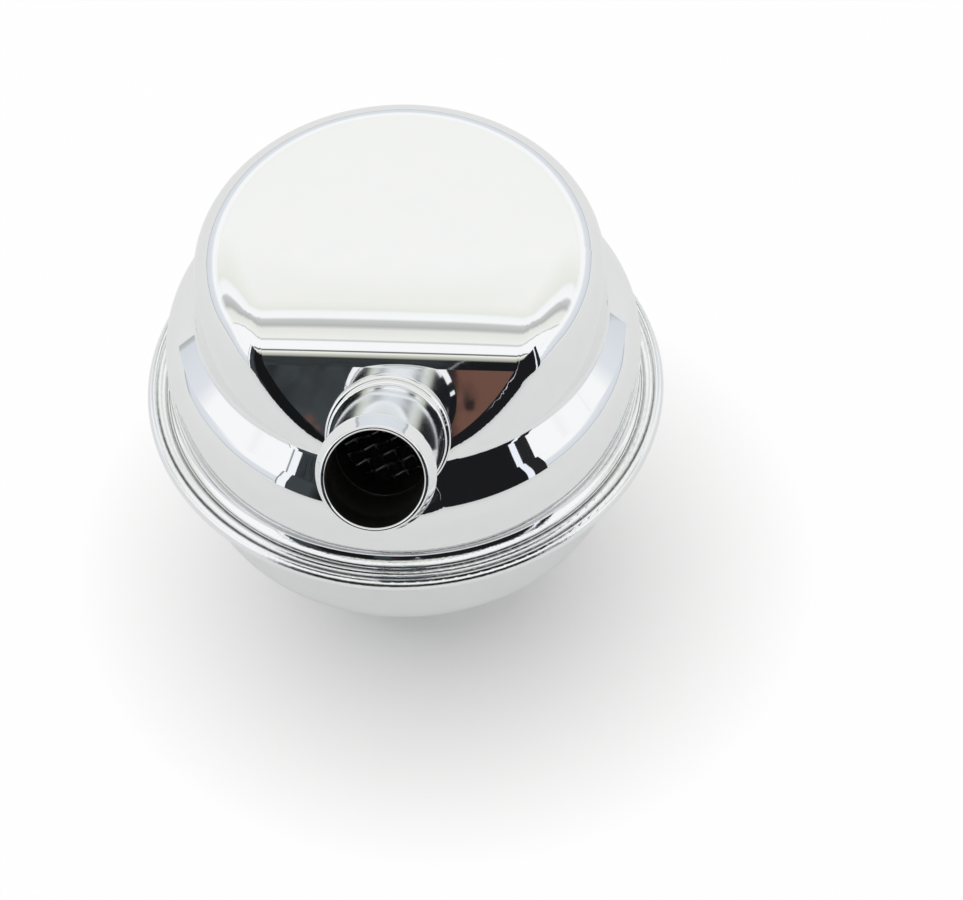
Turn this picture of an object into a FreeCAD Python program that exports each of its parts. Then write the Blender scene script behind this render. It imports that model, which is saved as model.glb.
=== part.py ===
import FreeCAD, Part
import math
import os

from FreeCAD import Vector

os.makedirs("parts", exist_ok=True)

# Crankcase breather filter: a chromed push-in cap with a side outlet.
# Lengths are millimetres and angles are degrees. The origin is the centre of the neck's
# lower end, +Z runs up the neck, and the outlet leans out over -Y.

# Sheet steel and clearances
sheet = 0.7
seam_clearance = 0.03
fit_clearance = 0.05
drop_in_clearance = 0.3

# Push-in neck, which carries an inner flange above the pan's floor and a bead below it
neck_outer_radius = 12.7
neck_wall = 0.9
neck_length = 20.0
neck_flange_width = 4.5
neck_bead_height = 2.4
neck_bead_reach = 1.0
neck_bead_round = 1.2

# Base pan
pan_depth = 17.0
pan_shoulder_setback = 0.6
pan_shoulder_bend = 0.8
pan_taper = 2.9
pan_floor_bend = 5.0

# Rolled seam, where the hood's flange is folded round the pan's
rim_radius = 38.1
hem_width = 2.6
seam_root_bend = 0.9
seam_root_width = 0.52
seam_groove_depth = 0.3
seam_groove_width = 0.6
seam_ridge_round = 0.4

# Hood, its height measured up from the underside of the seam and its crown's down to the step
hood_height = 34.1
crown_setback = 5.4
crown_bend = 7.0
crown_height = 15.1
crown_taper = 2.0
step_bend = 1.4
shoulder_slope = 46.0
shoulder_bend = 7.4

# Flat facet that carries the outlet, set back from the crown's edge
facet_elevation = 37.5
facet_setback = 11.3
facet_top_bend = 10.5
facet_side_bend = 5.0

# Outlet tube, measured out along its axis from the facet
outlet_drop = 14.94
outlet_outer_radius = 7.55
outlet_wall = 0.75
outlet_length = 25.34
outlet_bead_reach = 0.85
outlet_bead_setback = 3.6
outlet_bead_tail = 2.0
outlet_bead_round = 1.6
outlet_lip = 0.65
collar_radius = 8.9
collar_thickness = 1.2
collar_edge_round = 0.45
collar_step_radius = 8.45
collar_step_thickness = 1.8
collar_step_round = 0.5
outlet_inner_reach = 3.7
outlet_bell_length = 1.4

# Filter pack: two screens with a pad between them
screen_thickness = 0.8
screen_border = 3.0
screen_pitch = 5.4
screen_gap = 3.4
screen_turn = 28.0
lower_screen_drop = 4.5

# Splash baffle over the neck
baffle_radius = 15.0
baffle_rise = 6.5
baffle_dish = 1.2
baffle_leg_count = 3
baffle_leg_width = 5.0
baffle_leg_bend = 0.5
baffle_foot_length = 2.0

# Levels and radii that follow from the sizes above
seam_level = neck_length + pan_depth
seam_top = seam_level + 3 * sheet
skirt_foot = seam_top + 2 * seam_root_bend
top_level = seam_level + hood_height
step_level = top_level - crown_height
slot_end = rim_radius - sheet - seam_clearance
outer_ridge = slot_end - sheet / 2
groove_middle = outer_ridge - seam_groove_width
inner_ridge = groove_middle - seam_groove_width
skirt_radius = inner_ridge - seam_groove_width - seam_root_width
skirt_inner_radius = skirt_radius - sheet
crown_radius = skirt_radius - crown_setback
facet_chord_offset = crown_radius - facet_setback
pan_shoulder_radius = skirt_radius - pan_shoulder_setback
pan_floor_radius = pan_shoulder_radius - pan_taper
pan_floor_top = neck_length + sheet
neck_flange_radius = neck_outer_radius + neck_flange_width
outlet_bore_radius = outlet_outer_radius - outlet_wall
axis_up = Vector(0, 0, 1)

# Points nearer than this count as one
same_place = 1e-4


def rounded_outline(corners):
    """A closed wire in the XZ plane through (radius, height, rounding) corners."""
    points = [Vector(r, 0, z) for r, z, _ in corners]
    count = len(points)
    joins = []
    for i, (_, _, rounding) in enumerate(corners):
        if rounding <= 0:
            joins.append((points[i], None, points[i]))
            continue
        back = (points[i - 1] - points[i]).normalize()
        ahead = (points[(i + 1) % count] - points[i]).normalize()
        half = back.getAngle(ahead) / 2
        inward = (back + ahead).normalize()
        centre = points[i] + inward * (rounding / math.sin(half))
        setback = rounding / math.tan(half)
        joins.append((points[i] + back * setback, centre - inward * rounding, points[i] + ahead * setback))
    edges = []
    for i, (start, middle, end) in enumerate(joins):
        if middle is not None:
            edges.append(Part.Arc(start, middle, end).toShape())
        following = joins[(i + 1) % count][0]
        if end.distanceToPoint(following) > same_place:
            edges.append(Part.LineSegment(end, following).toShape())
    return Part.Wire(edges)


def turned(corners):
    """The solid that a closed section makes when it is turned about the Z axis."""
    return Part.Face(rounded_outline(corners)).revolve(Vector(0, 0, 0), axis_up, 360)


def offset_path(corners, distance):
    """An open path of (radius, height, rounding) corners, moved to its right by distance."""
    points = [Vector(r, 0, z) for r, z, _ in corners]
    runs = [(points[i + 1] - points[i]).normalize() for i in range(len(points) - 1)]
    rights = [Vector(run.z, 0, -run.x) for run in runs]
    moved = [points[0] + rights[0] * distance]
    for before, after, point in zip(rights, rights[1:], points[1:]):
        both = before + after
        moved.append(point + both * (2 * distance / both.dot(both)))
    moved.append(points[-1] + rights[-1] * distance)
    result = []
    for i, point in enumerate(moved):
        rounding = corners[i][2]
        if rounding > 0:
            turns_left = runs[i - 1].x * runs[i].z > runs[i - 1].z * runs[i].x
            rounding += distance if turns_left else -distance
        result.append((point.x, point.z, rounding))
    return result


def sheet_section(path, thickness):
    """The closed section of a sheet whose one face follows path, with its body on the right."""
    return path + offset_path(path, thickness)[::-1]


def crown_path():
    """The hood's outer face from the axis, over crown, step and shoulder, down the skirt."""
    wall_foot = crown_radius + crown_height * math.tan(math.radians(crown_taper))
    return [
        (0, top_level, 0),
        (crown_radius, top_level, 0),
        (wall_foot, step_level, step_bend),
        (skirt_radius, shoulder_level(wall_foot), shoulder_bend),
        (skirt_radius, skirt_foot, 0),
    ]


def shoulder_level(wall_foot):
    """The height at which the sloped shoulder, drawn on, would meet the skirt."""
    return step_level - (skirt_radius - wall_foot) * math.tan(math.radians(shoulder_slope))


def facet_frame():
    """The middle of the facet's upper edge, its outward normal and the way down it."""
    lean = math.radians(facet_elevation)
    normal = Vector(0, -math.cos(lean), math.sin(lean))
    down = Vector(0, -math.sin(lean), -math.cos(lean))
    return Vector(0, -facet_chord_offset, top_level), normal, down


def edge_middle(edge):
    return edge.valueAt((edge.FirstParameter + edge.LastParameter) / 2)


def bent(body, bend_radius):
    """The body with each edge rounded by its own radius, all at once, so that the bends
    run together in a smooth patch at the corners where they meet."""
    document = FreeCAD.newDocument("bends")
    sharp = document.addObject("Part::Feature", "sharp")
    sharp.Shape = body
    rounded = document.addObject("Part::Fillet", "rounded")
    rounded.Base = sharp
    radii = [(i, bend_radius(edge)) for i, edge in enumerate(body.Edges, 1)]
    rounded.Edges = [(i, radius, radius) for i, radius in radii if radius > 0]
    document.recompute()
    result = rounded.Shape.copy()
    FreeCAD.closeDocument(document.Name)
    return result


def crown_body(inset):
    """The hood's filled outer form with its facet, every face moved in by inset."""
    path = offset_path(crown_path(), inset)
    top = path[0][1]
    body = turned(path + [(0, path[-1][1], 0)])

    chord, normal, _ = facet_frame()
    chord = chord - normal * inset
    reach = 4 * rim_radius
    waste = Part.makeBox(reach, reach, reach, Vector(-reach / 2, -reach / 2, 0))
    waste.Placement = FreeCAD.Placement(chord, FreeCAD.Rotation(axis_up, normal))
    body = body.cut(waste)

    def bend_radius(edge):
        middle = edge_middle(edge)
        on_top = abs(middle.z - top) < same_place
        on_facet = abs((middle - chord).dot(normal)) < same_place
        if on_top and on_facet:
            return facet_top_bend - inset
        if on_top:
            return crown_bend - inset
        if on_facet:
            return facet_side_bend - inset
        return 0

    return bent(body, bend_radius)


def seam_ring():
    """The hood's flange: out over the pan's flange, round its edge and back under it."""
    groove_level = seam_top - seam_groove_depth
    slot_floor = seam_level + sheet - seam_clearance
    slot_roof = seam_level + 2 * sheet + seam_clearance
    return turned([
        (skirt_inner_radius, skirt_foot, 0),
        (skirt_radius, skirt_foot, 0),
        (skirt_radius, groove_level, seam_root_bend / 2),
        (inner_ridge - seam_groove_width, groove_level, 0),
        (inner_ridge, seam_top, seam_ridge_round),
        (groove_middle, groove_level, seam_ridge_round),
        (outer_ridge, seam_top, 0),
        (rim_radius, seam_top, 1.5 * sheet - seam_clearance),
        (rim_radius, seam_level, 1.5 * sheet - seam_clearance),
        (rim_radius - hem_width, seam_level, 0),
        (rim_radius - hem_width, slot_floor, 0),
        (slot_end, slot_floor, 0),
        (slot_end, slot_roof, 0),
        (skirt_inner_radius, slot_roof, seam_root_bend + sheet / 2),
    ])


def outlet_placement():
    """Puts a piece modelled up +Z from the origin on the facet, pointing out of the hood."""
    chord, normal, down = facet_frame()
    return FreeCAD.Placement(chord + down * outlet_drop, FreeCAD.Rotation(axis_up, normal))


def make_hood():
    shell = crown_body(0).cut(crown_body(sheet)).fuse(seam_ring())
    hole_reach = outlet_inner_reach + collar_thickness
    hole = Part.makeCylinder(outlet_outer_radius + fit_clearance, 2 * hole_reach, Vector(0, 0, -hole_reach))
    hole.Placement = outlet_placement()
    return shell.cut(hole).removeSplitter()


def make_outlet_tube():
    """Belled inner end, stepped stop collar on the facet, plain barrel and beaded mouth."""
    collar_top = collar_thickness + collar_step_thickness
    bead_level = outlet_length - outlet_bead_setback
    bell_top = outlet_bell_length - outlet_inner_reach
    tube = turned([
        (outlet_outer_radius, -outlet_inner_reach, 0),
        (outlet_outer_radius + outlet_wall, -outlet_inner_reach, 0),
        (outlet_outer_radius, bell_top, outlet_wall),
        (outlet_outer_radius, 0, 0),
        (collar_radius, 0, collar_edge_round),
        (collar_radius, collar_thickness, collar_edge_round),
        (collar_step_radius, collar_thickness, 0),
        (collar_step_radius, collar_top, collar_step_round),
        (outlet_outer_radius, collar_top, 0),
        (outlet_outer_radius, bead_level - outlet_bead_tail, outlet_wall),
        (outlet_outer_radius + outlet_bead_reach, bead_level, outlet_bead_round),
        (outlet_bore_radius + outlet_lip, outlet_length, 0),
        (outlet_bore_radius, outlet_length, 0),
        (outlet_bore_radius, bell_top, outlet_wall),
    ])
    tube.Placement = outlet_placement()
    return tube


def pan_path():
    """The pan's under face from the seam, down its tapered wall and in to the neck."""
    return [
        (slot_end - seam_clearance, seam_level + sheet, 0),
        (pan_shoulder_radius, seam_level + sheet, pan_shoulder_bend),
        (pan_floor_radius, neck_length, pan_floor_bend),
        (neck_outer_radius + fit_clearance, neck_length, 0),
    ]


def pan_inner_radius(level):
    """The radius of the pan's tapered inner wall at a level."""
    _, (high_r, high_z, _), (low_r, low_z, _), _ = offset_path(pan_path(), sheet)
    return low_r + (high_r - low_r) * (level - low_z) / (high_z - low_z)


def make_base_pan():
    return turned(sheet_section(pan_path(), sheet))


def make_neck_tube():
    """A tube with a rolled bead under the pan's floor and a flange spun out over it."""
    bead_level = neck_length - seam_clearance
    outer_face = [
        (neck_outer_radius, 0, 0),
        (neck_outer_radius, bead_level - neck_bead_height, neck_bead_round / 2),
        (neck_outer_radius + neck_bead_reach, bead_level - neck_bead_height / 2, neck_bead_round),
        (neck_outer_radius, bead_level, 0),
        (neck_outer_radius, pan_floor_top + seam_clearance, 0),
        (neck_flange_radius, pan_floor_top + seam_clearance, 0),
    ]
    return turned(sheet_section(outer_face, -neck_wall))


def upper_screen_top():
    """The level where the skirt's plain wall ends and the rounded shoulder begins."""
    wall_foot = crown_path()[2][0]
    return shoulder_level(wall_foot) - shoulder_bend * math.tan(math.radians(90 - shoulder_slope) / 2)


def screen(radius, level):
    """A round screen with a plain border, its weave given as a grid of square gaps."""
    border = Part.Wire(Part.Circle(Vector(0, 0, level), axis_up, radius).toShape())
    half = screen_gap / 2
    reach = int(radius / screen_pitch)
    gaps = []
    for column in range(-reach, reach + 1):
        for row in range(-reach, reach + 1):
            x, y = column * screen_pitch, row * screen_pitch
            if math.hypot(abs(x) + half, abs(y) + half) > radius - screen_border:
                continue
            square = Part.makePolygon([
                Vector(x - half, y - half, level),
                Vector(x + half, y - half, level),
                Vector(x + half, y + half, level),
                Vector(x - half, y + half, level),
                Vector(x - half, y - half, level),
            ])
            square.rotate(Vector(0, 0, 0), axis_up, screen_turn)
            gaps.append(square)
    sheet_face = Part.makeFace([border] + gaps, "Part::FaceMakerBullseye")
    return sheet_face.extrude(axis_up * screen_thickness)


def lower_screen_level():
    return seam_level - lower_screen_drop


def make_upper_screen():
    return screen(skirt_inner_radius - drop_in_clearance, upper_screen_top() - screen_thickness)


def make_lower_screen():
    return screen(pan_inner_radius(lower_screen_level()) - fit_clearance, lower_screen_level())


def make_filter_media():
    """The pad that fills the space between the two screens."""
    bottom = lower_screen_level() + screen_thickness
    top = upper_screen_top() - screen_thickness
    radius = pan_inner_radius(lower_screen_level()) - drop_in_clearance
    return turned([(0, bottom, 0), (radius, bottom, 0), (radius, top, 0), (0, top, 0)])


def make_baffle_plate():
    """A dished disc on bent legs, whose feet stand on the pan's floor round the neck."""
    rim_level = pan_floor_top + baffle_rise
    disc = turned(sheet_section([
        (0, rim_level + baffle_dish + sheet, 0),
        (baffle_radius / 2, rim_level + baffle_dish + sheet, 2 * sheet),
        (baffle_radius, rim_level + sheet, 0),
    ], sheet))
    leg_radius = neck_flange_radius + drop_in_clearance + sheet
    leg = Part.Face(rounded_outline(sheet_section([
        (baffle_radius - 2 * sheet, rim_level + sheet, 0),
        (leg_radius, rim_level + sheet, baffle_leg_bend + sheet),
        (leg_radius, pan_floor_top + sheet, baffle_leg_bend),
        (leg_radius + baffle_foot_length, pan_floor_top + sheet, 0),
    ], sheet)))
    leg.translate(Vector(0, -baffle_leg_width / 2, 0))
    leg = leg.extrude(Vector(0, baffle_leg_width, 0))
    for i in range(baffle_leg_count):
        turned_leg = leg.copy()
        turned_leg.rotate(Vector(0, 0, 0), axis_up, 90 + i * 360 / baffle_leg_count)
        disc = disc.fuse(turned_leg)
    return disc.removeSplitter()


pieces = {
    "hood": make_hood,
    "outlet_tube": make_outlet_tube,
    "upper_screen": make_upper_screen,
    "filter_media": make_filter_media,
    "lower_screen": make_lower_screen,
    "baffle_plate": make_baffle_plate,
    "base_pan": make_base_pan,
    "neck_tube": make_neck_tube,
}

for name, make in pieces.items():
    solid = make()
    solid.exportStep("parts/" + name + ".step")
    print(name, "solids", len(solid.Solids), "valid", solid.isValid(), "volume", round(solid.Volume, 1))
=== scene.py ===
# %% [markdown]
# # A chromed crankcase breather filter
#
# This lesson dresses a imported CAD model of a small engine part: a drawn steel cap with a
# side outlet, rolled onto a pan, with wire cloth and a fibre pad inside. Almost all of it
# is bright chrome, and chrome has no colour of its own. It shows what stands around it, so
# most of the work is in the camera, the surroundings and the small unevenness of the metal.

# %% Load the CAD model as a fixed frame
import math
import bpy
from mathutils import Matrix, Vector


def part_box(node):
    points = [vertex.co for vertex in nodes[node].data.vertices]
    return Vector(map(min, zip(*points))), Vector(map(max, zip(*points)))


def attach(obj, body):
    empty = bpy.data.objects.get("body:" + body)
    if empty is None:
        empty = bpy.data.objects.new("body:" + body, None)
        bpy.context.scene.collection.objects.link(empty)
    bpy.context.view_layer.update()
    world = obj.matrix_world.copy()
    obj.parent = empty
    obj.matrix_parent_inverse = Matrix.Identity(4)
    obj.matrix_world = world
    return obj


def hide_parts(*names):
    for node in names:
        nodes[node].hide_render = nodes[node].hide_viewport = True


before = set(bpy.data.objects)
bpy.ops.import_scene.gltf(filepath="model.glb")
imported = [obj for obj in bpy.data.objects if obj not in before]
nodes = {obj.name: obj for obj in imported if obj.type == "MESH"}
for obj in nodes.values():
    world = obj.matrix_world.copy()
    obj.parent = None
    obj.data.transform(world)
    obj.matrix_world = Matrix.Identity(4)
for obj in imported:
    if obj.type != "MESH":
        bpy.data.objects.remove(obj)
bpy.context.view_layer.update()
scene = bpy.context.scene
print("CAD nodes:", sorted(nodes))

# %% [markdown]
# ## Measures that the pieces share
#
# The scene works in metres, in the CAD model's own frame: the origin is the middle of the
# neck's lower end, Z runs up, and the outlet leans out over -Y. A level or a radius is read
# from a CAD box where a box gives it. No box gives the skirt's radius above the seam, or the
# place of the leaning outlet, so these few are written down here.

# %% Shared measures
mm = 0.001
hood_low, hood_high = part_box("hood")
seam_level = hood_low[2]
skirt_radius = 34.7 * mm

facet_lean = math.radians(37.5)
outlet_direction = Vector((0, -math.cos(facet_lean), math.sin(facet_lean)))
outlet_foot = Vector((0, -27.095, 59.247)) * mm
outlet_length = 25.34 * mm
bore_radius = 6.8 * mm
print("seam at", round(seam_level, 4), "radius", round(hood_high[0], 4))

# %% [markdown]
# ## The camera
#
# The photograph looks down on the part at 51 degrees, from a little to the right of the
# outlet, through a long lens, so that circles look like almost perfect ellipses. These
# numbers come from fitting the rolled seam's ellipse and the lines in the chrome where it
# mirrors the horizon. The camera is built from three directions: where it looks, which
# way is right in the picture, and which way is up.

# %% Camera at the photograph's viewing angle
picture_width, picture_height = 963, 900
lens_pixels = 4500
distance = 666 * mm
camera_elevation = math.radians(51)
camera_azimuth = math.radians(4.5)
camera_roll = math.radians(-1.9)
seam_centre_pixel = (405.8, 389.0)

look = Vector((0, math.cos(camera_elevation), -math.sin(camera_elevation)))
level = Vector((1, 0, 0))
upright = level.cross(look)
picture_right = level * math.cos(camera_roll) + upright * math.sin(camera_roll)
picture_up = upright * math.cos(camera_roll) - level * math.sin(camera_roll)

across = (seam_centre_pixel[0] - picture_width / 2) / lens_pixels
down = (seam_centre_pixel[1] - picture_height / 2) / lens_pixels
from_seam = -(look + picture_right * across - picture_up * down) * distance
turn = Matrix.Rotation(camera_azimuth, 3, "Z")
axes = Matrix((turn @ picture_right, turn @ picture_up, turn @ -look)).transposed()

camera_data = bpy.data.cameras.new("camera")
camera_data.sensor_width = 36
camera_data.lens = camera_data.sensor_width * lens_pixels / picture_width
camera = bpy.data.objects.new("camera", camera_data)
scene.collection.objects.link(camera)
place = Vector((0, 0, seam_level)) + turn @ from_seam
camera.matrix_world = Matrix.Translation(place) @ axes.to_4x4()
scene.camera = camera
scene.view_settings.view_transform = "Standard"
print("camera at", [round(v, 3) for v in place], "lens", round(camera_data.lens, 1))

# %% [markdown]
# ## Writing shaders as expressions
#
# A node tree is easier to read as a formula than as wires. `Socket` wraps one output of a
# node, and its operators add Math nodes. `Shader` adds every other node with one method:
# the node's type, its settings, and the values or links of its sockets.

# %% A socket that understands arithmetic
class Socket:
    def __init__(self, shader, output):
        self.shader = shader
        self.output = output

    def maths(self, operation, *values, clamp=False):
        node = self.shader.node("ShaderNodeMath", {"operation": operation, "use_clamp": clamp})
        for slot, value in zip(node.node.inputs, values):
            self.shader.feed(slot, value)
        return node["Value"]

    def __add__(self, other):
        return self.maths("ADD", self, other)

    __radd__ = __add__

    def __sub__(self, other):
        return self.maths("SUBTRACT", self, other)

    def __rsub__(self, other):
        return self.maths("SUBTRACT", other, self)

    def __mul__(self, other):
        return self.maths("MULTIPLY", self, other)

    __rmul__ = __mul__

    def __truediv__(self, other):
        return self.maths("DIVIDE", self, other)

    def __rtruediv__(self, other):
        return self.maths("DIVIDE", other, self)

    def __pow__(self, other):
        return self.maths("POWER", self, other)

    def __rpow__(self, other):
        return self.maths("POWER", other, self)

    def __neg__(self):
        return self.maths("MULTIPLY", self, -1)

    def step(self, edge, softness):
        """0 below the edge and 1 above it, with a soft change between."""
        return self.maths("ADD", (self - edge) / softness, 0.5, clamp=True)

    def band(self, start, end, softness):
        """1 between two edges and 0 outside them."""
        return self.step(start, softness) - self.step(end, softness)


# %% A shader tree that is filled from Python
class Node:
    def __init__(self, shader, node):
        self.shader = shader
        self.node = node

    def __getitem__(self, name):
        for output in self.node.outputs:
            if output.enabled and name in (output.name, output.identifier):
                return Socket(self.shader, output)
        raise KeyError(name)


class Shader:
    def __init__(self, owner):
        owner.use_nodes = True
        self.tree = owner.node_tree
        self.tree.nodes.clear()

    def feed(self, slot, value):
        if isinstance(value, Socket):
            self.tree.links.new(value.output, slot)
        else:
            slot.default_value = value

    def node(self, kind, settings=None, sockets=None):
        node = self.tree.nodes.new(kind)
        for name, value in (settings or {}).items():
            if name == "stops":
                self.set_stops(node.color_ramp, value)
            else:
                setattr(node, name, value)
        for name, value in (sockets or {}).items():
            slot = next(s for s in node.inputs if s.enabled and name in (s.name, s.identifier))
            self.feed(slot, value)
        return Node(self, node)

    def set_stops(self, ramp, stops):
        while len(ramp.elements) < len(stops):
            ramp.elements.new(1)
        for element, (position, color) in zip(ramp.elements, stops):
            element.position = position
            element.color = (*color, 1)

    def mix(self, factor, first, second):
        """A colour between two: factor 0 gives the first."""
        sockets = {"Factor": factor, "A": first, "B": second}
        return self.node("ShaderNodeMix", {"data_type": "RGBA"}, sockets)["Result"]

    def vector(self, operation, first, second=None, result="Vector"):
        sockets = {"Vector": first}
        node = self.node("ShaderNodeVectorMath", {"operation": operation}, sockets)
        if second is not None:
            self.feed(node.node.inputs[1], second)
        return node[result]

    def noise(self, place, scale, detail=2, roughness=0.5):
        sockets = {"Vector": place, "Scale": scale, "Detail": detail, "Roughness": roughness}
        return self.node("ShaderNodeTexNoise", None, sockets)["Fac"]

    def place(self):
        """Where a point lies on the object, in metres."""
        return self.node("ShaderNodeTexCoord")["Object"]

    def squeezed(self, place, scale):
        """The same place with each axis multiplied, which squeezes a pattern along it."""
        return self.node("ShaderNodeMapping", None, {"Vector": place, "Scale": scale})["Vector"]

    def parts(self, vector):
        split = self.node("ShaderNodeSeparateXYZ", None, {"Vector": vector})
        return split["X"], split["Y"], split["Z"]

    def bump(self, height, distance, strength=1.0, normal=None):
        sockets = {"Height": height, "Distance": distance, "Strength": strength}
        if normal is not None:
            sockets["Normal"] = normal
        return self.node("ShaderNodeBump", None, sockets)["Normal"]

    def surface(self, shader_socket):
        self.node("ShaderNodeOutputMaterial", None, {"Surface": shader_socket})


def rgb(red, green, blue):
    return (red, green, blue, 1)


print("shader tools ready")

# %% [markdown]
# ## What the chrome mirrors
#
# A chromed part is lit and photographed inside a tent of white cloth. The cloth isn't even:
# it has a front panel, a roof and a back panel, joined by seams and poles that run from
# left to right, and these seams are the fine grey lines along the crown's bends. So the
# tent is painted on the world, from three sets of bands. Overhead, the colour depends on
# the angle round the left-right axis, from the front (0) over the roof (90) to the back
# (180). The front panel has bands of its own over the same angle. Low down, the colour
# depends on the height above the horizon, counted from straight down (0).

# %% The tent's bands of cloth
roof_bands = [
    (0, (1.00, 1.00, 1.00)),
    (61, (1.00, 1.00, 1.00)),
    (63, (0.58, 0.59, 0.58)),
    (65.5, (0.92, 0.92, 0.88)),
    (79, (0.84, 0.84, 0.79)),
    (84, (0.50, 0.51, 0.50)),
    (92, (0.62, 0.63, 0.62)),
    (95.5, (1.00, 1.00, 1.00)),
    (104, (0.96, 0.98, 0.98)),
    (108, (0.86, 0.87, 0.81)),
    (120, (0.92, 0.92, 0.87)),
    (129, (0.97, 0.97, 0.95)),
    (150, (0.96, 0.96, 0.93)),
    (180, (1.00, 1.00, 1.00)),
]
front_bands = [
    (0, (0.28, 0.28, 0.23)),
    (39, (0.28, 0.28, 0.23)),
    (43, (0.62, 0.62, 0.53)),
    (46.5, (1.00, 1.00, 0.96)),
    (47.4, (0.10, 0.10, 0.11)),
    (48.8, (0.10, 0.10, 0.11)),
    (49.6, (1.00, 1.00, 1.00)),
    (180, (1.00, 1.00, 1.00)),
]
low_bands = [
    (0, (0.90, 0.90, 0.90)),
    (88.5, (0.90, 0.90, 0.90)),
    (89.5, (0.35, 0.36, 0.37)),
    (90.5, (0.70, 0.74, 0.78)),
    (100, (0.78, 0.81, 0.85)),
    (104, (1.00, 1.00, 1.00)),
    (113, (1.00, 1.00, 1.00)),
    (114.2, (0.50, 0.51, 0.52)),
    (115.5, (1.00, 1.00, 1.00)),
    (180, (1.00, 1.00, 1.00)),
]
print("bands overhead, in front, low down:", len(roof_bands), len(front_bands), len(low_bands))

# %% [markdown]
# ## Joining the bands
#
# The roof's seams curve towards the back at the left and right, as on cloth over a hoop, and
# their picture bends round the crown's corners. The front panel spans the middle of the front
# and ends where the roof begins. All joins are soft. The camera itself sees plain white, and
# only what the chrome mirrors comes from the bands.

# %% The white tent as the world
world = bpy.data.worlds.new("tent")
scene.world = world
tent = Shader(world)
east, north, height = tent.parts(tent.node("ShaderNodeTexCoord")["Generated"])
degrees = 180 / math.pi
elevation = height.maths("ARCSINE", height) * degrees
over = height.maths("ARCTAN2", height, -north) * degrees


def banded(bands, angle):
    """The cloth's colour at an angle of 0 to 180 degrees, from (angle, colour) pairs."""
    stops = [(from_angle / 180, color) for from_angle, color in bands]
    return tent.node("ShaderNodeValToRGB", {"stops": stops}, {"Fac": angle / 180})["Color"]


hoop_bend = 42
panel_half_width, panel_side_softness = 0.50, 0.20
panel_top, panel_top_softness = 56, 2
low_cloth_top, low_cloth_softness = 21, 8

hooped = over - east * east * hoop_bend
beside_panel = east.maths("ABSOLUTE", east).step(panel_half_width, panel_side_softness)
on_panel = (1 - beside_panel) * (1 - over.step(panel_top, panel_top_softness))
upper_cloth_color = tent.mix(on_panel, banded(roof_bands, hooped), banded(front_bands, over))
low_cloth_color = banded(low_bands, elevation + 90)
cloth = tent.mix(elevation.step(low_cloth_top, low_cloth_softness), low_cloth_color, upper_cloth_color)

seen = tent.mix(tent.node("ShaderNodeLightPath")["Is Camera Ray"], cloth, rgb(1, 1, 1))
glow = tent.node("ShaderNodeBackground", None, {"Color": seen, "Strength": 1.0})["Background"]
tent.node("ShaderNodeOutputWorld", None, {"Surface": glow})
print("tent of", len(tent.tree.nodes), "nodes")

# %% [markdown]
# ## The table
#
# The part stands on a wide sheet of white paper. The camera sees the paper almost burnt
# out to white, and the chrome mirrors it almost as bright. So camera rays and mirrored rays
# get a share of a plain white glow in place of the paper's own light: most of it away from
# the part, and little of it round the part's foot, where the soft shadow has to stay.

# %% Paper floor
bpy.ops.object.select_all(action="DESELECT")
bpy.ops.mesh.primitive_grid_add(x_subdivisions=8, y_subdivisions=8, size=6)
paper = bpy.context.object
paper.name = "paper"

shadow_east, shadow_north = 5 * mm, -3 * mm
shadow_reach, shadow_softness = 35 * mm, 44 * mm
seen_share_in_shadow, seen_share_in_open = 0.12, 0.98
mirrored_share_in_shadow, mirrored_share_in_open = 0.06, 0.30

paper_material = bpy.data.materials.new("paper")
sheet_shader = Shader(paper_material)
east, north, _ = sheet_shader.parts(sheet_shader.place())
from_east = east - shadow_east
from_north = north - shadow_north
from_shadow = (from_east * from_east + from_north * from_north) ** 0.5
in_open = from_shadow.step(shadow_reach, shadow_softness)
seen_share = in_open * (seen_share_in_open - seen_share_in_shadow) + seen_share_in_shadow
mirrored_share = in_open * (mirrored_share_in_open - mirrored_share_in_shadow) + mirrored_share_in_shadow

path = sheet_shader.node("ShaderNodeLightPath")
mirrored = path["Is Glossy Ray"] + path["Is Transmission Ray"]
share = path["Is Camera Ray"] * seen_share + mirrored * mirrored_share
matt = sheet_shader.node("ShaderNodeBsdfDiffuse", None, {"Color": rgb(0.88, 0.88, 0.875)})["BSDF"]
white = sheet_shader.node("ShaderNodeEmission", None, {"Color": rgb(1, 1, 1), "Strength": 1.0})["Emission"]
sockets = {"Fac": share, "Shader": matt, "Shader_001": white}
sheet_shader.surface(sheet_shader.node("ShaderNodeMixShader", None, sockets)["Shader"])
paper.data.materials.append(paper_material)
print("paper", [round(v, 2) for v in paper.dimensions])

# %% [markdown]
# ## The open front of the tent
#
# The dark opening is a curved card that stands round the front of the part, from the
# table up to a little below the camera. Its picture in the cap's sloping facet and
# shoulder is what reads as black chrome. A light strip and a pole stand at each end of it,
# where the cloth begins. They are part of the set, so the camera is told not to see them.
# Each is made as a photographer would: a flat strip bent to an arc.

# %% Curved cards round the front
card_distance = 0.9
card_foot = 0.002
card_top = 0.80


def bent_card(name, from_angle, to_angle, pieces):
    """A strip of the set that stands on an arc round Z, its angles measured from -Y."""
    bpy.ops.object.select_all(action="DESELECT")
    bpy.ops.mesh.primitive_grid_add(x_subdivisions=pieces, y_subdivisions=12, size=1)
    card = bpy.context.object
    card.name = name
    for vertex in card.data.vertices:
        turn_to = math.radians(from_angle + (to_angle - from_angle) * (vertex.co.x + 0.5))
        rise = card_foot + (card_top - card_foot) * (vertex.co.y + 0.5)
        vertex.co = (card_distance * math.sin(turn_to), -card_distance * math.cos(turn_to), rise)
    card.visible_camera = False
    return card


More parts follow.
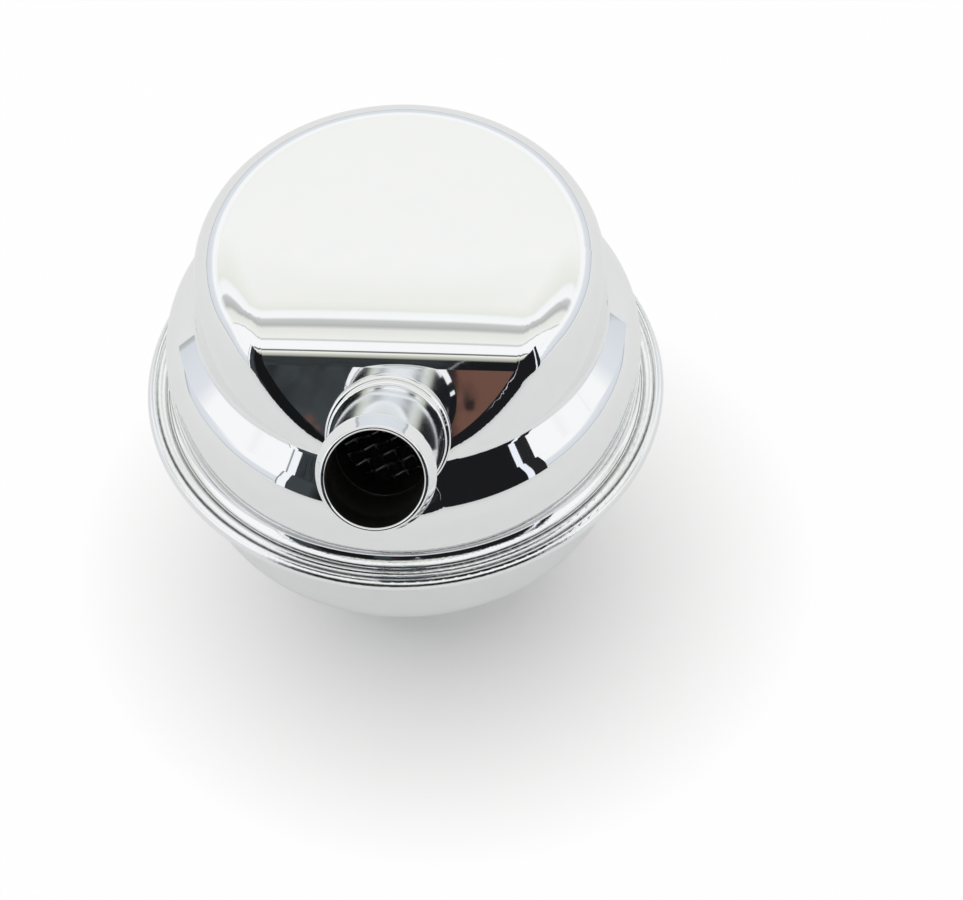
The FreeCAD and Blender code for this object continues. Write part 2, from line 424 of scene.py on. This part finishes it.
def card_shader(card):
    """A new shader for a card of the set, named after it."""
    material = bpy.data.materials.new(card.name)
    card.data.materials.append(material)
    print(card.name, [round(v, 2) for v in card.dimensions])
    return Shader(material)


def shine(shader, color):
    """Lets a card shine by itself in a colour, as lit cloth does."""
    glow = shader.node("ShaderNodeEmission", None, {"Color": color, "Strength": 1.0})["Emission"]
    shader.surface(glow)


print("cards stand", card_distance, "m away, up to", card_top, "m")

# %% [markdown]
# ## The colours of the dark room
#
# The facet is flat, so it shows only a small window of the card, about 75 mm wide, 16 mm
# tall and 0.45 m up. The patches, streaks and the bright thread that show in it are painted
# at that size. The round shoulder squeezes the whole card into a narrow band, and there the
# wide changes of colour show: slate to the left, black ahead, and a bright slit at the right.
# Places on the card are metres to the right of the middle and metres above the table.

# %% Colours and patches of the dark room
slate = rgb(0.050, 0.058, 0.063)
black = rgb(0.012, 0.012, 0.014)
deep_black = rgb(0.008, 0.009, 0.010)
streak_black = rgb(0.010, 0.011, 0.012)
spot_black = rgb(0.020, 0.018, 0.018)
dim_brown = rgb(0.130, 0.070, 0.054)
brown = rgb(0.160, 0.080, 0.060)
daylight = rgb(0.60, 0.62, 0.66)
top_cloth = rgb(0.30, 0.30, 0.25)
slate_end = -0.052
facet_window_middle = 0.457
top_cloth_level = 0.78
torn_patches = [
    ((-0.0965, 0.4475), (0.0055, 0.0060), dim_brown),
    ((-0.0295, 0.4580), (0.0165, 0.0240), brown),
    ((-0.0392, 0.4592), (0.0024, 0.0034), spot_black),
]
print("torn patches:", len(torn_patches))

# %% Paint for the dark room
def room_color(dark):
    """The dark room's colour, from its widest change to its smallest."""
    where = dark.place()
    east, _, height = dark.parts(where)
    wavy = dark.noise(where, 45, 3, 0.6) - 0.5
    torn = dark.noise(where, 330, 3, 0.6) - 0.5
    streaks = dark.noise(dark.squeezed(where, (1, 1, 6)), 150, 3)

    far_left = east.step(-0.50, 0.06) * (1 - east.step(-0.16, 0.03))
    shade = dark.mix(east.step(slate_end, 0.012), slate, black)
    shade = dark.mix(far_left, shade, deep_black)
    streaked = streaks.step(0.52, 0.06) * height.step(facet_window_middle, 0.004) * 0.85
    shade = dark.mix(streaked, shade, streak_black)
    for (east_at, height_at), (wide, tall), color in torn_patches:
        sideways = (east - east_at) / wide
        upward = (height - height_at) / tall
        from_middle = (sideways * sideways + upward * upward) ** 0.5
        shade = dark.mix(1 - (from_middle + torn * 1.6).step(1, 0.15), shade, color)
    thread = (east + torn * 0.004).band(-0.0492, -0.0486, 0.0003)
    shade = dark.mix(thread * height.step(0.452, 0.002), shade, daylight)
    slit = (east - wavy * 0.02).band(0.100, 0.112, 0.006)
    shade = dark.mix(slit * height.step(0.34, 0.03), shade, daylight)
    return dark.mix(height.step(top_cloth_level, 0.05), shade, top_cloth)


room_left, room_right = -46, 54
dark_room = card_shader(bent_card("dark_room", room_left, room_right, 50))
shine(dark_room, room_color(dark_room))

# %% Strips and poles at the ends of the dark room
end_cards = {
    "left_strip": (-49.5, room_left, 4, rgb(0.95, 0.97, 1.0)),
    "right_strip": (room_right, 57, 4, rgb(0.90, 0.93, 1.0)),
    "left_pole": (-50.3, -49.5, 2, rgb(0.30, 0.31, 0.33)),
    "right_pole": (57, 63, 4, rgb(0.02, 0.02, 0.022)),
}
for name, (from_angle, to_angle, pieces, color) in end_cards.items():
    shine(card_shader(bent_card(name, from_angle, to_angle, pieces)), color)

# %% [markdown]
# ## Chrome
#
# Decorative chrome is almost a perfect mirror, with a faint cool tint. What makes it look
# like drawn sheet steel is that the mirror isn't flat: every sheet has long shallow waves
# from the press and small hazy spots. Both are the same on all four chromed pieces, so they
# are in one class, and each piece adds its own marks before its material is finished.

# %% Chrome on drawn sheet
class Chrome(Shader):
    """Bright chrome whose parts can add their own unevenness before it is finished."""

    def __init__(self, name):
        self.material = bpy.data.materials.new(name)
        super().__init__(self.material)
        self.where = self.place()
        self.east, self.north, self.height = self.parts(self.where)
        self.out = (self.east * self.east + self.north * self.north) ** 0.5
        waves = self.noise(self.where, 42, 1)
        self.normal = self.bump(waves, 0.035 * mm)
        haze = self.noise(self.where, 240, 3)
        self.roughness = 0.018 + haze.step(0.62, 0.3) * 0.03
        self.tint = self.mix(haze, rgb(0.90, 0.915, 0.93), rgb(0.935, 0.94, 0.945))

    def raise_by(self, height, distance):
        """Lifts the surface's look by a height of 0 to 1 times a distance."""
        self.normal = self.bump(height, distance, 1.0, self.normal)

    def finish(self):
        sockets = {
            "Base Color": self.tint,
            "Metallic": 1.0,
            "Roughness": self.roughness,
            "Normal": self.normal,
        }
        self.surface(self.node("ShaderNodeBsdfPrincipled", None, sockets)["BSDF"])
        return self.material


def dress(node_name, material):
    """Gives a CAD node its material, on every slot that it has."""
    piece = nodes[node_name]
    piece.data.materials.clear()
    piece.data.materials.append(material)
    print(node_name, "wears", material.name)


dress("base_pan", Chrome("pan_chrome").finish())
dress("neck_tube", Chrome("neck_chrome").finish())

# %% [markdown]
# ## The hood's own marks
#
# The press leaves the crown's flat top slightly raised towards its middle, the skirt flares
# a little before it turns out into the seam, and the seam's rollers leave ridges and fine
# pebbling. The bends themselves are in the CAD model. These marks change what the sheet
# mirrors and hardly its outline, so bump is enough for them. Each is a height between 0 and
# 1, worked out from the distance to the axis and the height above the seam.

# %% Hood chrome
chord_from_axis = 12.8 * mm
crown_top_radius = 22.3 * mm
crown_corner_blend = 14 * mm
crown_edge_width = 2.4 * mm
crown_swell = 0.8 * mm
flare_foot_above_seam = 2.1 * mm
flare_height = 2.6 * mm
seam_top_above_seam = 4.2 * mm
ridge_pitch = 1.75 * mm
ridge_depth = 0.17 * mm
ridge_crest_radius = 37.15 * mm
ridge_end_radius = 37.4 * mm
pebble_depth = 0.018 * mm


def hood_chrome():
    chrome = Chrome("hood_chrome")
    to_chord = chrome.north + chord_from_axis
    to_ring = crown_top_radius - chrome.out
    from_edge = to_chord.maths("SMOOTH_MIN", to_chord, to_ring, crown_corner_blend)
    beyond_edge = 1 / (1 + math.e ** (from_edge / crown_edge_width))
    chrome.raise_by(1 - beyond_edge, crown_swell)

    up_the_flare = (chrome.height - seam_level - flare_foot_above_seam) / flare_height
    flare = 1 - up_the_flare.maths("MAXIMUM", up_the_flare, 0)
    flare = flare.maths("MAXIMUM", flare, 0)
    on_skirt = 1 - chrome.out.step(skirt_radius + 0.15 * mm, 0.1 * mm)
    chrome.raise_by(flare ** 1.5 * on_skirt, flare_height)

    below_skirt = 1 - chrome.height.step(seam_level + seam_top_above_seam, mm)
    on_seam = chrome.out.step(skirt_radius + 0.3 * mm, 0.3 * mm) * below_skirt
    turns = (chrome.out - ridge_crest_radius) * (2 * math.pi / ridge_pitch)
    inside_rim = 1 - chrome.out.step(ridge_end_radius, 0.4 * mm)
    ridges = turns.maths("COSINE", turns) * inside_rim
    chrome.raise_by(ridges * on_seam, ridge_depth)

    on_flare = flare * on_skirt
    near_seam = on_flare.maths("MAXIMUM", on_flare, on_seam)
    pebbles = chrome.noise(chrome.where, 2100, 1)
    chrome.raise_by(pebbles * near_seam, pebble_depth)
    chrome.roughness = chrome.roughness + near_seam * 0.17
    return chrome.finish()


dress("hood", hood_chrome())

# %% [markdown]
# ## The outlet's own marks, and its painted light
#
# The outlet is a turned and beaded tube. Its lip is rolled round, and its barrel is a little
# less polished than its bead; the barrel's cooler, darker tint is a painted reflection of the
# blue-grey it mirrors. The bore is painted dark as painted shade, and made rough, and a thin
# raised ring in it is painted bright and warm as a painted highlight. The tube leans, so a
# point's place along it and its distance from its axis are worked out first, with vector
# operations, and every mask is then a step on one of the two.

# %% Outlet chrome
lip_width, lip_rise = 0.65 * mm, 0.16 * mm
barrel_start, barrel_end = 3.4 * mm, 19.4 * mm
# The ring with the painted highlight: where it lies along the tube, and how far it is raised.
glint_start, glint_end = 6.95 * mm, 7.25 * mm
glint_ring_rise = 0.16 * mm


def outlet_chrome():
    chrome = Chrome("outlet_chrome")
    from_foot = chrome.vector("SUBTRACT", chrome.where, tuple(outlet_foot))
    along = chrome.vector("DOT_PRODUCT", from_foot, tuple(outlet_direction), "Value")
    reach = chrome.vector("LENGTH", from_foot, None, "Value")
    off_axis_squared = reach * reach - along * along
    off_axis = off_axis_squared.maths("MAXIMUM", off_axis_squared, 0) ** 0.5

    across_lip = (off_axis - bore_radius) / lip_width
    at_mouth = along.step(outlet_length - 0.1 * mm, 0.1 * mm)
    chrome.raise_by(across_lip * (1 - across_lip) * 4 * at_mouth, lip_rise)

    on_barrel = along.band(barrel_start, barrel_end, 0.4 * mm)
    in_bore = 1 - off_axis.step(bore_radius + 0.04 * mm, 0.04 * mm)
    # A thin raised ring in the bore, painted bright and warm as a painted highlight.
    glint_ring = along.band(glint_start, glint_end, 0.1 * mm)
    # Dark painted shade for the bore, and a bright painted highlight on the ring.
    bore_shade_and_glint = chrome.mix(glint_ring, rgb(0.30, 0.29, 0.28), rgb(1.0, 0.88, 0.76))
    # The barrel's cooler, darker tint is a painted reflection of the blue-grey it mirrors; its extra
    # roughness is its less polished finish.
    chrome.tint = chrome.mix(on_barrel, chrome.tint, rgb(0.84, 0.89, 0.94))
    # Paints the bore's shade and the ring's highlight into the tint.
    chrome.tint = chrome.mix(in_bore, chrome.tint, bore_shade_and_glint)
    chrome.raise_by(glint_ring * in_bore, glint_ring_rise)
    chrome.roughness = chrome.roughness + on_barrel * 0.11 + in_bore * 0.3
    return chrome.finish()


dress("outlet_tube", outlet_chrome())

# %% [markdown]
# ## Plain steel
#
# The baffle inside is zinc-plated steel: grey, half matt, with the faint crystal pattern
# of the zinc. A Voronoi texture has the same cells as those crystals, so it sets both the
# colour and the gloss.

# %% Zinc-plated steel
def zinc_material():
    material = bpy.data.materials.new("zinc_plate")
    zinc = Shader(material)
    crystals = {"Vector": zinc.place(), "Scale": 420}
    spangle = zinc.node("ShaderNodeTexVoronoi", None, crystals)["Distance"]
    color = zinc.mix(spangle, rgb(0.40, 0.41, 0.42), rgb(0.56, 0.57, 0.58))
    sockets = {"Base Color": color, "Metallic": 1.0, "Roughness": spangle * 0.2 + 0.3}
    zinc.surface(zinc.node("ShaderNodeBsdfPrincipled", None, sockets)["BSDF"])
    return material


dress("baffle_plate", zinc_material())

# %% [markdown]
# ## Wire cloth
#
# Through the outlet's mouth the upper screen shows as short bright dashes, the tops of woven
# wires. The CAD model holds each screen as a flat plate with square gaps. Here each becomes
# real cloth: wires that go over and under each other. One small unit of the weave is
# modelled, two wires by two, and arrays repeat it; then what lies outside the round edge is
# trimmed away and the cloth is turned as it lies in the part.

# %% One unit of plain weave
weave_pitch = 2.1 * mm
wire_radius = 0.21 * mm
weave_turn = math.radians(28)
wire_bends = 8


def wave_wire(offset, first_up, sideways):
    """A hexagonal wire two pitches long, bent over one crossing and under the next."""
    bpy.ops.object.select_all(action="DESELECT")
    bpy.ops.mesh.primitive_cylinder_add(
        vertices=6,
        radius=wire_radius,
        depth=2 * weave_pitch,
        end_fill_type="NOTHING",
        rotation=(0, math.pi / 2, 0),
    )
    wire = bpy.context.object
    bpy.ops.object.transform_apply(location=True, rotation=True, scale=True)
    bpy.ops.object.mode_set(mode="EDIT")
    for cut in range(1, wire_bends):
        bpy.ops.mesh.select_all(action="SELECT")
        at = -weave_pitch + cut * 2 * weave_pitch / wire_bends
        bpy.ops.mesh.bisect(plane_co=(at, 0, 0), plane_no=(1, 0, 0))
    bpy.ops.object.mode_set(mode="OBJECT")
    lift_by = wire_radius if first_up else -wire_radius
    for vertex in wire.data.vertices:
        vertex.co.z += lift_by * math.cos(math.pi * (vertex.co.x + weave_pitch / 2) / weave_pitch)
        vertex.co.y += offset
    if sideways:
        wire.data.transform(Matrix.Rotation(math.pi / 2, 4, "Z"))
    return wire


def weave_unit():
    half = weave_pitch / 2
    wires = [
        wave_wire(-half, True, False),
        wave_wire(half, False, False),
        wave_wire(-half, True, True),
        wave_wire(half, False, True),
    ]
    bpy.ops.object.select_all(action="DESELECT")
    for wire in wires:
        wire.select_set(True)
    bpy.context.view_layer.objects.active = wires[0]
    bpy.ops.object.join()
    return bpy.context.object


unit = weave_unit()
print("weave unit", [round(v / mm, 2) for v in unit.dimensions], "mm,", len(unit.data.polygons), "faces")

# %% Cloth from repeated units
def apply_modifiers(piece):
    bpy.context.view_layer.objects.active = piece
    for modifier in list(piece.modifiers):
        bpy.ops.object.modifier_apply(modifier=modifier.name)


def add_row(piece, axis, count):
    """Repeats a piece of weave along an axis, each copy joined to the one before."""
    row = piece.modifiers.new("row", "ARRAY")
    row.count = count
    row.use_relative_offset = False
    row.use_constant_offset = True
    row.constant_offset_displace = [2 * weave_pitch if i == axis else 0 for i in range(3)]
    row.use_merge_vertices = True
    row.merge_threshold = 0.01 * mm


def trim_round(piece, radius):
    """Deletes what lies outside a radius round Z."""
    bpy.ops.object.mode_set(mode="EDIT")
    bpy.ops.mesh.select_all(action="DESELECT")
    bpy.ops.object.mode_set(mode="OBJECT")
    for vertex in piece.data.vertices:
        vertex.select = vertex.co.xy.length > radius
    bpy.ops.object.mode_set(mode="EDIT")
    bpy.ops.mesh.delete(type="VERT")
    bpy.ops.object.mode_set(mode="OBJECT")


def wire_cloth(name, radius, level):
    """A round of plain-weave cloth at a level, cut from a square field of units."""
    cloth_piece = unit.copy()
    cloth_piece.data = unit.data.copy()
    cloth_piece.name = name
    cloth_piece.data.name = name
    scene.collection.objects.link(cloth_piece)
    count = math.ceil(radius / weave_pitch) + 1
    for axis in (0, 1):
        add_row(cloth_piece, axis, count)
    bpy.ops.object.select_all(action="DESELECT")
    cloth_piece.select_set(True)
    apply_modifiers(cloth_piece)
    middle = (count - 1) * weave_pitch
    centred = Matrix.Translation((-middle, -middle, level))
    cloth_piece.data.transform(Matrix.Rotation(weave_turn, 4, "Z") @ centred)
    trim_round(cloth_piece, radius)
    bpy.ops.object.shade_smooth()
    print(name, len(cloth_piece.data.polygons), "faces")
    return cloth_piece


# %% [markdown]
# ## The screens' rims
#
# A round of cloth frays, so the maker folds a thin steel ring over its edge. The ring starts
# as a circle of edges, is extruded inwards to a flat band, and gets its thickness and its
# soft edges from two modifiers.

# %% Screens
rim_width = 2.2 * mm
cloth_inside_rim = 0.8 * mm


def edge_ring(name, radius, level, thickness):
    """The folded rim that holds a round of cloth: a flat ring with a rounded edge."""
    bpy.ops.object.select_all(action="DESELECT")
    bpy.ops.mesh.primitive_circle_add(vertices=96, radius=radius, location=(0, 0, level - thickness / 2))
    ring = bpy.context.object
    ring.name = name
    bpy.ops.object.transform_apply(location=True, rotation=True, scale=True)
    bpy.ops.object.mode_set(mode="EDIT")
    bpy.ops.mesh.select_all(action="SELECT")
    bpy.ops.mesh.extrude_edges_move()
    inward = 1 - rim_width / radius
    bpy.ops.transform.resize(value=(inward, inward, 1), center_override=(0, 0, level))
    bpy.ops.object.mode_set(mode="OBJECT")
    wall = ring.modifiers.new("wall", "SOLIDIFY")
    wall.thickness = thickness
    wall.offset = 1
    soft = ring.modifiers.new("soft", "BEVEL")
    soft.width = thickness * 0.3
    soft.segments = 2
    apply_modifiers(ring)
    low = min(vertex.co.z for vertex in ring.data.vertices)
    ring.data.transform(Matrix.Translation((0, 0, level - thickness / 2 - low)))
    bpy.ops.object.shade_smooth_by_angle(angle=math.radians(35))
    print(name, len(ring.data.polygons), "faces")
    return ring


def screen_piece(name):
    low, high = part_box(name)
    radius = high[0]
    level = (low[2] + high[2]) / 2
    cloth_piece = wire_cloth(name + "_cloth", radius - cloth_inside_rim, level)
    ring = edge_ring(name + "_edge", radius, level, high[2] - low[2])
    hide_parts(name)
    return cloth_piece, ring


upper_cloth, upper_ring = screen_piece("upper_screen")
lower_cloth, lower_ring = screen_piece("lower_screen")
bpy.data.objects.remove(unit)

# %% [markdown]
# ## The wire's finish
#
# The wire is drawn steel, brighter than it looks: it lies deep in a dark bore, and only the
# tops of its waves catch light through the mouth. A slight stain varies its colour and gloss.

# %% Steel wire
def wire_material():
    material = bpy.data.materials.new("screen_wire")
    wire = Shader(material)
    stain = wire.noise(wire.place(), 700, 3)
    color = wire.mix(stain, rgb(0.70, 0.70, 0.71), rgb(0.95, 0.95, 0.95))
    sockets = {"Base Color": color, "Metallic": 1.0, "Roughness": stain * 0.15 + 0.24}
    wire.surface(wire.node("ShaderNodeBsdfPrincipled", None, sockets)["BSDF"])
    return material


steel_wire = wire_material()
for piece in (upper_cloth, upper_ring, lower_cloth, lower_ring):
    piece.data.materials.clear()
    piece.data.materials.append(steel_wire)
    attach(piece, "root")
print("screens dressed")

# %% [markdown]
# ## Fibre pad
#
# Between the screens lies a pad of black non-woven fibre. It is packed flat against both
# screens and its side is soft, so it starts as a plain round block, gets inset rings and a
# rounded edge, and ends with a fuzzy surface.

# %% Pad
pad_side_clearance = 0.3 * mm
pad_rings = (1.5 * mm, 8 * mm, 8 * mm)
pad_edge_round = 1.2 * mm


def fibre_pad():
    low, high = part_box("filter_media")
    bpy.ops.object.select_all(action="DESELECT")
    bpy.ops.mesh.primitive_cylinder_add(
        vertices=96,
        radius=high[0] - pad_side_clearance,
        depth=high[2] - low[2],
        location=(0, 0, (high[2] + low[2]) / 2),
    )
    pad = bpy.context.object
    pad.name = "fibre_pad"
    bpy.ops.object.transform_apply(location=True, rotation=True, scale=True)
    bpy.ops.object.mode_set(mode="EDIT")
    bpy.ops.mesh.select_all(action="DESELECT")
    bpy.ops.object.mode_set(mode="OBJECT")
    for face in pad.data.polygons:
        face.select = abs(face.normal.z) > 0.9
    bpy.ops.object.mode_set(mode="EDIT")
    for inset_by in pad_rings:
        bpy.ops.mesh.inset(thickness=inset_by, use_individual=True)
    bpy.ops.object.mode_set(mode="OBJECT")
    round_edge = pad.modifiers.new("round_edge", "BEVEL")
    round_edge.width = pad_edge_round
    round_edge.segments = 4
    round_edge.limit_method = "ANGLE"
    apply_modifiers(pad)
    bpy.ops.object.shade_smooth_by_angle(angle=math.radians(50))
    print("pad", len(pad.data.polygons), "faces")
    return pad


def fibre_material():
    material = bpy.data.materials.new("black_fibre")
    fibre = Shader(material)
    strands = fibre.noise(fibre.squeezed(fibre.place(), (1, 1, 3)), 1100, 5, 0.7)
    color = fibre.mix(strands, rgb(0.02, 0.02, 0.02), rgb(0.10, 0.098, 0.095))
    normal = fibre.bump(strands, 0.3 * mm)
    sockets = {"Base Color": color, "Roughness": 0.95, "Normal": normal}
    fibre.surface(fibre.node("ShaderNodeBsdfPrincipled", None, sockets)["BSDF"])
    return material


pad = fibre_pad()
pad.data.materials.append(fibre_material())
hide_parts("filter_media")
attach(pad, "root")
